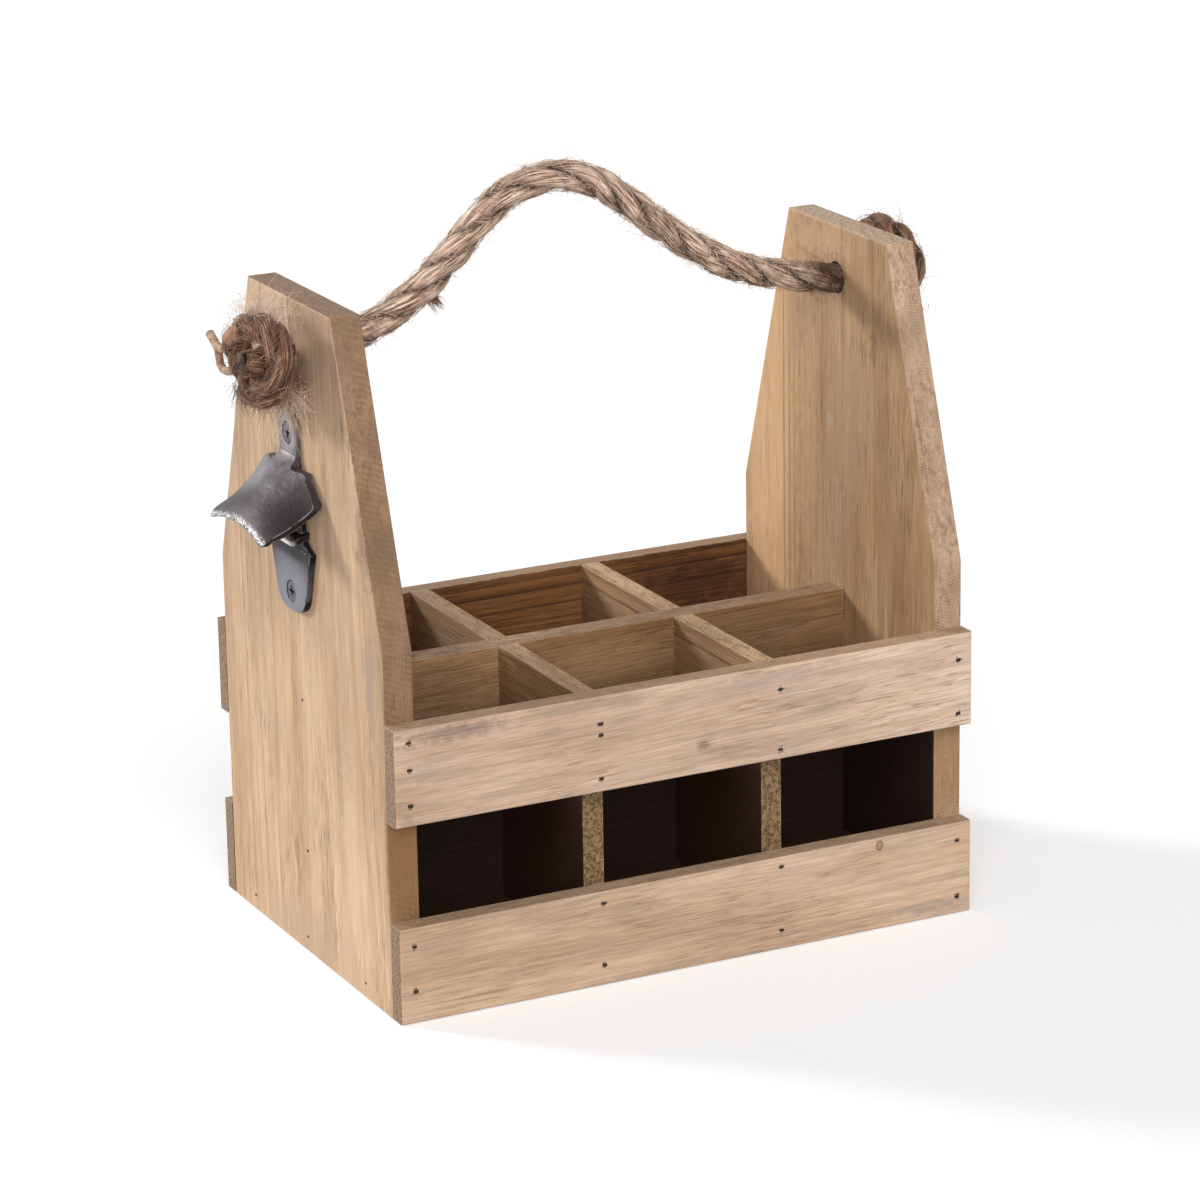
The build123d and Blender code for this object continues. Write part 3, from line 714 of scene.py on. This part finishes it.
# an overhand knot: out from its seat, across, and above the hole
knotRoute = (
    (0, 0, 0), (0.0083, 0, 0), (0.018, 0.0048, -0.0046), (0.0207, 0.0112, -0.0103), (0.0196, 0.0205, -0.0111),
    (0.0171, 0.0279, -0.0062), (0.015, 0.0304, 0.0025), (0.0154, 0.0268, 0.0112), (0.0167, 0.0186, 0.0158),
    (0.0198, 0.0001, 0.0121), (0.0189, -0.0087, 0.0029), (0.0158, -0.0099, -0.0057),
    (0.0113, -0.0054, -0.0124), (0.0074, 0.003, -0.0141), (0.0069, 0.0114, -0.0102),
    (0.0094, 0.0159, -0.0032), (0.016, 0.017, 0.0016), (0.027, 0.0195, 0.0024),
)


def splineLine(name, points):  # the smooth line that the route's points guide
    curve = bpy.data.curves.new(name, "CURVE")
    curve.dimensions = "3D"
    curve.resolution_u = 20
    spline = curve.splines.new("NURBS")
    spline.points.add(len(points) - 1)
    for control, point in zip(spline.points, points):
        control.co = (*point, 1)
    spline.order_u = 3
    spline.use_endpoint_u = True
    holder = bpy.data.objects.new(name, curve)
    mesh = bpy.data.meshes.new_from_object(holder)
    line = [vertex.co.copy() for vertex in mesh.vertices]
    bpy.data.objects.remove(holder)
    bpy.data.curves.remove(curve)
    bpy.data.meshes.remove(mesh)
    return line


def evenSteps(line, step):  # the same line with its points at even steps
    lengths = [0]
    for before, after in zip(line, line[1:]):
        lengths.append(lengths[-1] + (after - before).length)
    count = round(lengths[-1] / step)
    points, leg = [], 0
    for n in range(count + 1):
        want = lengths[-1] * n / count
        while leg < len(line) - 2 and lengths[leg + 1] < want:
            leg += 1
        run = lengths[leg + 1] - lengths[leg]
        points.append(line[leg].lerp(line[leg + 1], (want - lengths[leg]) / run))
    return points, lengths[-1]


def framesAlong(points):  # at each point: where, which way it goes, and a rise and a side that don't twist
    frames, up = [], Vector((0, 0, 1))
    for n, point in enumerate(points):
        along = (points[min(n + 1, len(points) - 1)] - points[max(n - 1, 0)]).normalized()
        up = (up - along * up.dot(along)).normalized()
        frames.append((point, along, up, along.cross(up)))
    return frames


def layRope(name, points, length, diameter, turns, material, seed):
    dice = random.Random(seed)
    mesh = bmesh.new()
    unrolled = mesh.verts.layers.float_vector.new("strandPlace")
    groove = mesh.verts.layers.float.new("groove")
    radius, offset = diameter * rope["strandRadius"], diameter * rope["strandOffset"]
    yarns, sides, gaps = rope["yarns"], rope["sides"], rope["yarnGaps"]
    grooveEnd, grooveSoft = rope["groove"]
    frames = framesAlong(points)
    slack = [dice.uniform(0, tau) for n in range(4)]  # the last two only keep the order of the draws
    for strand in range(rope["strands"]):
        phase = dice.uniform(0, tau)
        lobes = [dice.uniform(*rope["yarnUneven"]) for yarn in range(yarns)]
        last = None
        for n, (centre, along, up, side) in enumerate(frames):
            share = n / (len(frames) - 1)
            run = share * length
            uneven = sum(far * sin(often * run + begin) for (far, often), begin in zip(rope["uneven"], slack))
            turn = tau * strand / rope["strands"] + tau * turns * share + uneven
            out = up * cos(turn) + side * sin(turn)
            heading = (along + along.cross(out) * (tau * offset * turns / length)).normalized()
            across = heading.cross(out).normalized()
            waxing = enumerate(rope["swell"], 1)
            swells = (far * sin(often * run + count * phase) for count, (far, often) in waxing)
            thickness = radius * sum(swells, 1)
            twist = phase - tau * run / rope["yarnPitch"]
            ring = []
            for corner in range(sides):
                angle = tau * corner / sides
                lobe = lobes[int(((angle - twist) / tau * yarns) % yarns)]
                bulge = abs(cos(yarns * (angle - twist) / 2)) ** rope["yarnCrown"]
                reach = thickness * (rope["yarnCore"] + rope["yarnDepth"] * bulge * lobe)
                spoke = out * (offset + cos(angle) * reach) + across * sin(angle) * reach
                vertex = mesh.verts.new(centre + spoke)
                vertex[unrolled] = (cos(angle - twist) * radius, sin(angle - twist) * radius, run + strand)
                # groove is 1 on the tops and falls to 0 deep in the grooves and a little between yarns, where
                # shade is painted
                height = (spoke.length / (diameter / 2) - grooveEnd) / grooveSoft
                vertex[groove] = max(0, min(1, height)) * (1 - gaps + gaps * bulge)
                ring.append(vertex)
            if last:
                for corner in range(sides):
                    after = (corner + 1) % sides
                    mesh.faces.new((last[corner], last[after], ring[after], ring[corner]))
            else:
                mesh.faces.new(list(reversed(ring)))
            last = ring
        mesh.faces.new(last)
    data = bpy.data.meshes.new(name)
    mesh.normal_update()
    mesh.to_mesh(data)
    mesh.free()
    for face in data.polygons:
        face.use_smooth = True
    data.materials.append(material)
    return putInScene(name, data)


def thinStrands(name, paths, radius, material, thinning=0.75, rounding=0):  # one curve piece of many strands
    curve = bpy.data.curves.new(name, "CURVE")
    curve.dimensions = "3D"
    curve.bevel_depth = radius
    curve.bevel_resolution = rounding
    for path in paths:
        spline = curve.splines.new("POLY")
        spline.points.add(len(path) - 1)
        for n, (control, point) in enumerate(zip(spline.points, path)):
            control.co = (*point, 1)
            control.radius = 1 - thinning * n / (len(path) - 1)
    curve.materials.append(material)
    return putInScene(name, curve)


strayFibre = {
    "lean": (0.5, 0.45),  # from the rope's line, in radians, and how much that varies
    "curl": 0.6,
    "bow": (1.6, 2.6),
    "depth": 0.475,  # where it lies, as a share of the rope's diameter
    "hug": 0.5,  # how closely it follows the rope's roundness
    "steps": 5,
}


def strayFibres(points, diameter, fuzz, seed):  # fibres that lie on the rope and lift off it
    dice = random.Random(seed)
    frames = framesAlong(points)
    paths = []
    for n in range(fuzz["count"]):
        centre, along, up, side = frames[dice.randrange(2, len(frames) - 2)]
        turn = dice.uniform(0, tau)
        out = up * cos(turn) + side * sin(turn)
        over = along.cross(out)
        lean = dice.gauss(*strayFibre["lean"])
        way = (along * cos(lean) + over * sin(lean)) * dice.choice((-1, 1))
        length = dice.uniform(*fuzz["lengths"])
        rise = abs(dice.gauss(0, fuzz["lift"]))
        curl = dice.uniform(-strayFibre["curl"], strayFibre["curl"])
        bow = dice.uniform(*strayFibre["bow"])
        path = []
        for step in range(strayFibre["steps"] + 1):
            share = step / strayFibre["steps"]
            swing = (way * cos(curl * share * 2) + over * sin(curl * share * 2)) * length * share
            lifted = diameter * strayFibre["depth"] + rise * sin(share * bow)
            path.append(centre + swing + out * (lifted - swing.length ** 2 / diameter * strayFibre["hug"]))
        paths.append(path)
    return paths


bristleSteps = 6


def bristles(tuft, seed):  # loose fibres that stand out of one place
    dice = random.Random(seed)
    paths = []
    for n in range(tuft["count"]):
        root = Vector(tuft["root"]) + Vector([dice.gauss(0, spread) for spread in tuft["spread"]])
        way = Vector(tuft["way"]).normalized() + Vector([dice.gauss(0, tuft["fan"]) for axis in range(3)])
        sag = Vector([dice.gauss(0, tuft["curl"]) for axis in range(3)])
        length = dice.uniform(*tuft["lengths"])
        shares = [step / bristleSteps for step in range(bristleSteps + 1)]
        paths.append([root + (way * share + sag * share ** 2) * length for share in shares])
    return paths


def juteMaterial(name, jute):
    material, tree, spot = newMaterial(name)
    place = spot["Object"]
    unrolled = wire("Attribute", tree=tree, attribute_name="strandPlace")["Vector"]
    groove = wire("Attribute", tree=tree, attribute_name="groove")["Fac"]
    fine = cloud(unrolled, (1900, 1900, 110), rough=0.6)
    broad = cloud(unrolled, (800, 800, 50))
    patch = cloud(place, 85)
    colour = tint(between(fine, 0.41, 0.56), jute["dark"], jute["middle"])
    colour = tint(between(fine, 0.52, 0.64), colour, jute["light"])
    colour = tint(times(between(broad, 0.48, 0.66), 0.6), colour, jute["pink"])
    colour = tint(times(between(patch, 0.5, 0.68), 0.45), colour, jute["dark"])
    # painted shade in the grooves
    colour = smudged(place, tint(groove, jute["gap"], colour), jute["marks"])
    bump = {"Strength": 0.9, "Distance": 0.0008, "Height": plus(fine, broad, 0.7)}
    dress(colour, plus(0.7, fine, 0.2), bump, {"Specular IOR Level": 0.2, "Sheen Weight": 0.05})
    return material


def fibreMaterial(name, low, high, marks=()):
    material, tree, spot = newMaterial(name)
    mottle = cloud(spot["Object"], 300, detail=2)
    colour = smudged(spot["Object"], tint(between(mottle, 0.35, 0.65), low, high), marks)
    bump = {"Strength": 0.3, "Distance": 0.0002, "Height": mottle}
    dress(colour, plus(0.55, mottle, 0.3), bump, {})
    return material


spanColours = {
    "dark": (0.155, 0.08, 0.043), "middle": (0.82, 0.55, 0.395), "light": (1, 0.88, 0.74),
    "pink": (0.9, 0.63, 0.49), "gap": (0.038, 0.017, 0.008),
    "marks": (  # darker where it leaves the right board's hole
        ((114, 0, 255), (24, 16, 16), 0.5, (0.055, 0.025, 0.013), 0.95),
    ),
}
knotShadows = (
    ((-146, 0, 240), (22, 24, 12.5), 0.6, (0.055, 0.026, 0.013), 0.92),
    ((-136, -14, 252), (7, 12, 18), 0.5, (0.05, 0.025, 0.013), 0.85),
)
knotColours = {
    "dark": (0.065, 0.028, 0.014), "middle": (0.215, 0.105, 0.057), "light": (0.5, 0.305, 0.195),
    "pink": (0.37, 0.18, 0.11), "gap": (0.012, 0.005, 0.003),
    "marks": (  # painted light on top and on the back lobe, painted shade underneath
        ((-148, 10, 275.5), (18, 20, 10), 0.7, (0.74, 0.56, 0.45), 0.85),
        ((-146, 32, 262), (10, 10, 12), 0.6, (0.58, 0.42, 0.32), 0.7),
        *knotShadows,
        ((-154, 4, 264), (6, 9, 7), 0.9, (0.58, 0.3, 0.19), 0.8),
    ),
}
spanJute, knotJute = juteMaterial("span_jute", spanColours), juteMaterial("knot_jute", knotColours)
paleFibre = fibreMaterial("pale_fibre", (0.62, 0.435, 0.315), (0.92, 0.75, 0.6), spanColours["marks"])
brownFibre = fibreMaterial("brown_fibre", (0.1, 0.048, 0.025), (0.3, 0.16, 0.095))
russetFibre = fibreMaterial("russet_fibre", (0.3, 0.155, 0.09), (0.58, 0.37, 0.255), knotShadows)
yarnFibre = fibreMaterial("yarn_fibre", (0.22, 0.12, 0.07), (0.52, 0.35, 0.235))

spanFuzz = {"count": 2600, "pale": 1900, "lengths": (0.003, 0.012), "lift": 0.0008, "radius": 0.00009}
knotFuzz = {"count": 480, "lengths": (0.004, 0.013), "lift": 0.0009, "radius": 0.0001}
holeTuft = {  # a worn bundle at the right board's hole
    "count": 260, "root": (0.112, 0, 0.254), "spread": (0.004, 0.0042, 0.0042), "way": (-0.2, -0.3, 0.2),
    "fan": 0.6, "curl": 0.6, "lengths": (0.0015, 0.0042), "radius": 0.0001,
}
snagTuft = {  # a snagged tuft under the rope's left run
    "count": 90, "root": (-0.07, -0.002, 0.2695), "spread": (0.0014, 0.0014, 0.0008),
    "way": (0.62, -0.15, -0.75), "fan": 0.1, "curl": 0.12, "lengths": (0.003, 0.0082), "radius": 0.00015,
}
cutEnd = {  # dark bristles of the rope's end, below the knot
    "count": 420, "root": (0.144, 0.000, 0.2405), "spread": (0.004, 0.0065, 0.0018), "way": (0.2, -0.15, -1),
    "fan": 0.35, "curl": 0.3, "lengths": (0.003, 0.0068), "radius": 0.00014,
}
frayedEnd = {  # pale frayed fibres at its foot
    "count": 260, "root": (0.1355, -0.011, 0.24), "spread": (0.0022, 0.004, 0.003),
    "way": (0.15, -1, -0.65), "fan": 0.45, "curl": 0.7, "lengths": (0.004, 0.0115), "radius": 0.00011,
}
crown = {  # pale fuzz on the knot's top
    "count": 300, "root": (0.144, -0.006, 0.2715), "spread": (0.005, 0.008, 0.0025), "way": (0, -0.3, 0.8),
    "fan": 0.6, "curl": 0.9, "lengths": (0.002, 0.0065), "radius": 0.0001,
}
yarnRadius = 0.0018
yarnPlace = -0.148  # along the caddy
looseYarn = (  # a stray yarn that stands out of the left knot and loops back into it
    ((0.0385, 0.2552), (0.0345, 0.2532), (0.0305, 0.2508), (0.0292, 0.2475), (0.0285, 0.2447),
     (0.0252, 0.2431), (0.0205, 0.2434), (0.015, 0.2455), (0.007, 0.2485)),
    ((0.0318, 0.2518), (0.0265, 0.2513), (0.0215, 0.2527), (0.015, 0.2545), (0.006, 0.256)),
)

spanLine = splineLine("span_line", [(x, 0, rope["holeHeight"] + rise) for x, rise in spanRoute])
spanPoints, spanLength = evenSteps(spanLine, rope["step"])
spanWidth, knotWidth = rope["spanDiameter"], rope["knotDiameter"]
span = layRope("rope_span_strands", spanPoints, spanLength, spanWidth, rope["spanTurns"], spanJute, 1)
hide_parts("rope_span")
spanPaths = strayFibres(spanPoints[16:-16], spanWidth, spanFuzz, 2)
cut = spanFuzz["pale"]
spanPieces = [
    thinStrands("rope_span_fibres", spanPaths[:cut], spanFuzz["radius"], paleFibre),
    thinStrands("rope_span_brown_fibres", spanPaths[cut:], spanFuzz["radius"], brownFibre),
    thinStrands("rope_hole_tuft", bristles(holeTuft, 3), holeTuft["radius"], brownFibre),
    thinStrands("rope_snag_tuft", bristles(snagTuft, 4), snagTuft["radius"], brownFibre),
]
for piece in (span, *spanPieces):
    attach(piece, "rope_handle")
print("rope span laid, length", round(spanLength, 4))


def tuftAt(side, tuft):  # the same tuft at the left or the right knot
    x, y, z = tuft["root"]
    wayX, wayY, wayZ = tuft["way"]
    return {**tuft, "root": (side * x, -side * y, z), "way": (side * wayX, -side * wayY, wayZ)}


for label, side in (("left", -1), ("right", 1)):
    knot = "rope_knot_" + label
    seat, height = rope["seat"], rope["holeHeight"]
    route = [(side * (seat + out), side * across, height + up) for out, across, up in knotRoute]
    points, length = evenSteps(splineLine("knot_line", route), rope["step"])
    strands = layRope(knot + "_strands", points, length, knotWidth, rope["knotTurns"], knotJute, 5 + side)
    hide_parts("rope_knot_" + label)
    pieces = []
    for count, (word, material) in enumerate((("pale", russetFibre), ("brown", brownFibre))):
        paths = strayFibres(points, knotWidth, knotFuzz, 9 + side + 10 * count)
        pieces.append(thinStrands(f"{knot}_{word}_fibres", paths, knotFuzz["radius"], material))
    tufts = [("cut_end", cutEnd, brownFibre), ("frayed_end", frayedEnd, paleFibre)]
    if label == "left":
        tufts.append(("crown", crown, paleFibre))
    for word, tuft, material in tufts:
        paths = bristles(tuftAt(side, tuft), 30 + side)
        pieces.append(thinStrands(f"{knot}_{word}", paths, tuft["radius"], material))
    if label == "left":
        paths = [[(yarnPlace, *point) for point in path] for path in looseYarn]
        pieces.append(thinStrands(knot + "_yarn", paths, yarnRadius, yarnFibre, thinning=0.1, rounding=3))
    for piece in (strands, *pieces):
        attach(piece, "rope_handle")
    print("knot", label, "laid, length", round(length, 4))

studio = {
    "key": ((-0.6, 0.72, 0.34), 2.1, 12),  # towards the lamp, strength, softness in degrees
    "front": ((-0.3, -0.78, 0.55), 2.3, 45),
    "sky": 0.32,
    "floor": ((0.8, 0.8, 0.8), (0.81, 0.81, 0.81)),
    "floorSize": 9,
    "floorDrop": 0.0003,  # keeps it just under the caddy's feet
    "lift": 0.3,  # how much the floor glows where it is seen
}


def addLamp(name, towards, strength, softness):
    data = bpy.data.lights.new(name, "SUN")
    data.energy = strength
    data.angle = radians(softness)
    putInScene(name, data).rotation_euler = Vector(towards).to_track_quat("Z", "Y").to_euler()


def seenDirectly(tree):  # 1 for the camera, reflections and glass
    path = wire("LightPath", tree=tree)
    seen = calc("MAXIMUM", path["Is Camera Ray"], path["Is Glossy Ray"])
    return calc("MAXIMUM", seen, path["Is Transmission Ray"])


def makeFloor():
    mesh = bmesh.new()
    bmesh.ops.create_grid(mesh, x_segments=8, y_segments=8, size=studio["floorSize"])
    data = bpy.data.meshes.new("floor")
    mesh.to_mesh(data)
    mesh.free()
    floor = putInScene("floor", data)
    floor.location.z = -studio["floorDrop"]
    material, tree, spot = newMaterial("pale_floor")
    soft = cloud(spot["Object"], 3, detail=1)
    matt = wire("BsdfDiffuse", {"Color": tint(between(soft, 0.3, 0.7), *studio["floor"])})[0]
    glow = wire("Emission", {"Color": (1, 1, 1), "Strength": times(seenDirectly(tree), studio["lift"])})[0]
    wire("OutputMaterial", {"Surface": wire("AddShader", {0: matt, 1: glow})[0]})
    data.materials.append(material)


def makeWorld():
    world = bpy.data.worlds.new("studio")
    bpy.context.scene.world = world
    world.use_nodes = True
    world.node_tree.nodes.clear()
    strength = plus(studio["sky"], seenDirectly(world.node_tree), 1 - studio["sky"])
    wire("OutputWorld", {"Surface": wire("Background", {"Color": (1, 1, 1), "Strength": strength})[0]})


addLamp("key_lamp", *studio["key"])
addLamp("front_lamp", *studio["front"])
makeFloor()
makeWorld()
bpy.context.scene.view_settings.view_transform = "Standard"
print("studio lit")
